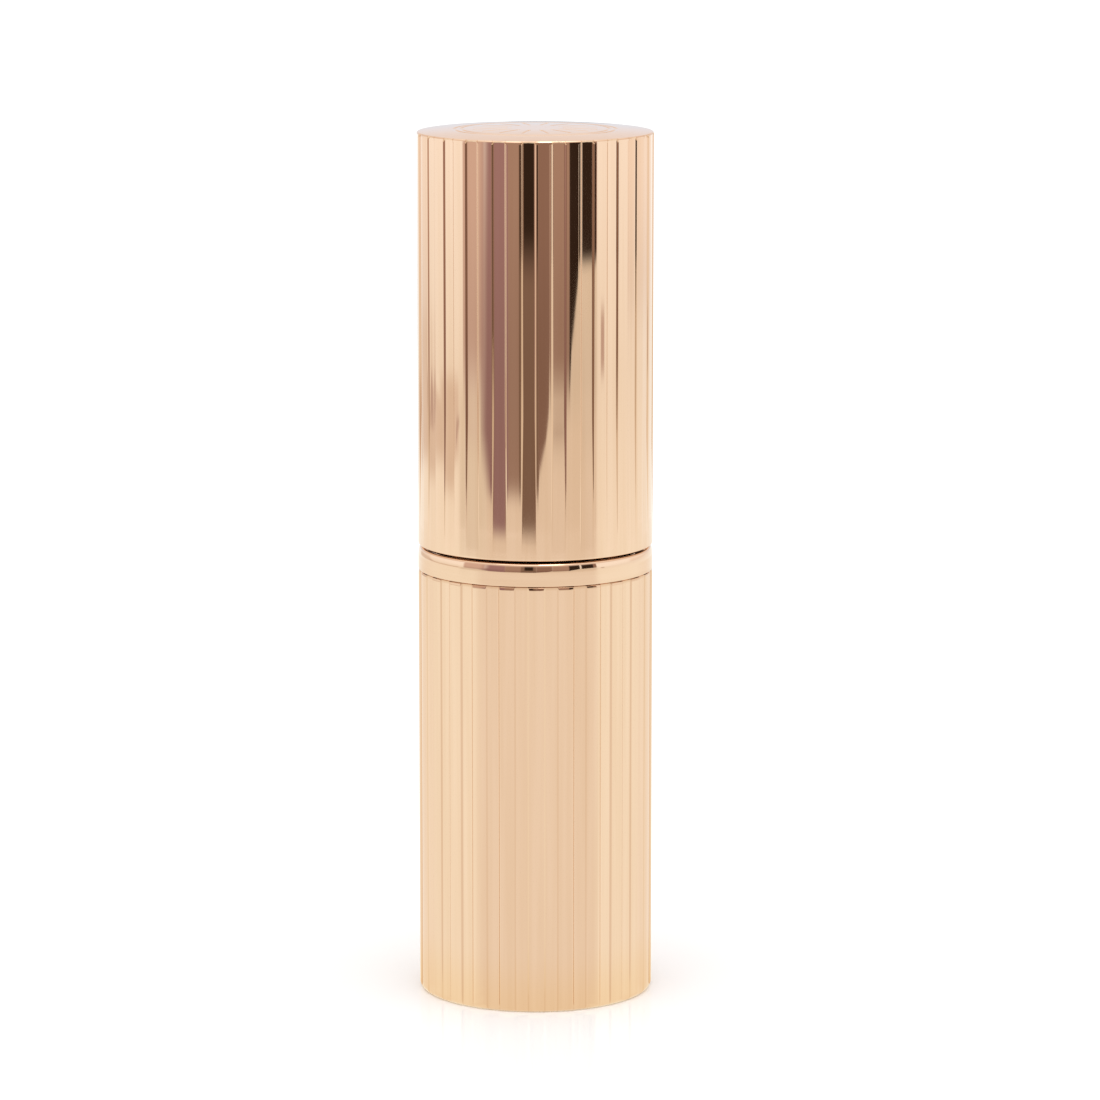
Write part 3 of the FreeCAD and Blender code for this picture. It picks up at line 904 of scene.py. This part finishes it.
def floor():
    """Pale floor, with a faint satin gloss close in front of the case."""
    material, tree, shader = new_material("studio_floor")
    shader.inputs["Base Color"].default_value = FLOOR_TONE
    shader.inputs["Roughness"].default_value = 0.1
    place = tree.nodes.new("ShaderNodeTexCoord")
    mapping = tree.nodes.new("ShaderNodeMapping")
    mapping.inputs["Location"].default_value = (0, GLOSS_FRONT / GLOSS_REACH, 0)
    mapping.inputs["Scale"].default_value = (1 / GLOSS_REACH,) * 3
    near = tree.nodes.new("ShaderNodeTexGradient")
    near.gradient_type = "SPHERICAL"
    tree.links.new(place.outputs["Object"], mapping.inputs["Vector"])
    tree.links.new(mapping.outputs["Vector"], near.inputs["Vector"])
    gloss = ramp(tree, near.outputs["Fac"], [(0.0, 0.0), (0.6, FLOOR_GLOSS)])
    tree.links.new(gloss, shader.inputs["Specular IOR Level"])
    bm = bmesh.new()
    for x, y in ((-1, -1), (1, -1), (1, 1), (-1, 1)):
        bm.verts.new((x * FLOOR_HALF, y * FLOOR_HALF, -FLOOR_GAP))
    bm.faces.new(bm.verts)
    piece = linked_object("studio_floor", filled_mesh("studio_floor", bm, material))
    piece.visible_glossy = False


def soft_box(name, location, target, size, power):
    """A large square soft light."""
    data = bpy.data.lights.new(name, "AREA")
    data.shape = "SQUARE"
    data.size = size
    data.energy = power
    light = linked_object(name, data)
    light.location = location
    aim = Vector(target) - Vector(location)
    light.rotation_euler = aim.to_track_quat("-Z", "Y").to_euler()


def world(strength):
    """A plain white surround."""
    scene_world = bpy.data.worlds.new("studio_world")
    bpy.context.scene.world = scene_world
    scene_world.use_nodes = True
    background = scene_world.node_tree.nodes["Background"]
    background.inputs["Color"].default_value = (1.0, 1.0, 1.0, 1)
    background.inputs["Strength"].default_value = strength


def camera():
    """Long lens in front of the case, a little above its crown and turned slightly down."""
    data = bpy.data.cameras.new("camera")
    data.sensor_width = CAMERA_SENSOR
    data.lens = CAMERA_LENS
    data.clip_start, data.clip_end = 0.01, 100
    looker = linked_object("camera", data)
    looker.location = (0, -CAMERA_BACK * CASE_R, CAMERA_UP * CASE_R)
    looker.rotation_euler = (math.radians(90 - CAMERA_PITCH), 0, -math.radians(CAMERA_YAW))
    bpy.context.scene.camera = looker


def studio():
    reflected_room()
    glint_card()
    floor()
    world(WORLD_GLOW)
    soft_box("soft_box_above", location=(0, -0.35, 1.2), target=(0, 0, 0.04), size=1.2, power=4)
    camera()
    bpy.context.scene.view_settings.view_transform = "Standard"
    bpy.context.scene.view_settings.look = "None"


def main():
    ribbed = rose_gold("rose_gold_ribbed", (1, 1, 0.02))
    smooth = rose_gold("rose_gold_smooth", (0.05, 0.05, 1))
    cap_shell(ribbed)
    base_shell(ribbed)
    collar_band(smooth)
    neck(smooth)
    swivel_sleeve(smooth)
    bullet(lipstick_wax())

    ivory = moulded_plastic("ivory_plastic", (0.70, 0.66, 0.58), (0.76, 0.72, 0.64), 0.3)
    black = moulded_plastic("black_plastic", (0.012, 0.011, 0.011), (0.020, 0.018, 0.018), 0.45)
    white = moulded_plastic("white_plastic", (0.62, 0.60, 0.56), (0.70, 0.68, 0.64), 0.45)
    silicone = moulded_plastic("clear_silicone", (0.50, 0.48, 0.44), (0.56, 0.54, 0.50), 0.5)
    steel = turned_steel()
    dress("inner_tube", ivory)
    dress("spiral_sleeve", ivory)
    dress("cup", ivory)
    dress("cap_liner", black)
    dress("base_core", white)
    dress("o_ring", silicone)
    dress("cap_weight", steel)
    dress("base_weight", steel)
    dress("bottom_label", label_paper())

    studio()


main()
